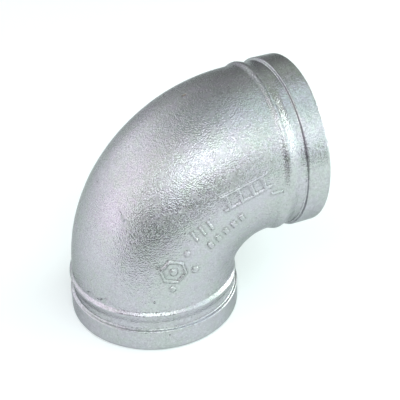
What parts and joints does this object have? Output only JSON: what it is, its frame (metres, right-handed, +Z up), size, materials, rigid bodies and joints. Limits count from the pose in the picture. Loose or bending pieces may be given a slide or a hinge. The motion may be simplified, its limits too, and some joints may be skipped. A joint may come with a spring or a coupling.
{
  "type": "grooved pipe elbow",
  "caption": "Short-radius right-angle pipe elbow: a hollow galvanised iron casting with a grooved end on each leg, gripped by clamped pipe couplings.",
  "frame": {"origin": "centre of the lower end face, on the waterway's axis", "axes": "+Z up the lower leg, +X out along the upper leg, raised marks on the -Y flank"},
  "size_m": [0.1592, 0.1144, 0.1592],
  "materials": {
    "galvanised_iron": "hot-dip galvanised over an as-cast skin: light silvery grey, fine grain, soft sheen"
  },
  "bodies": {
    "root": {"elbow_casting": "galvanised_iron"}
  },
  "joints": []
}
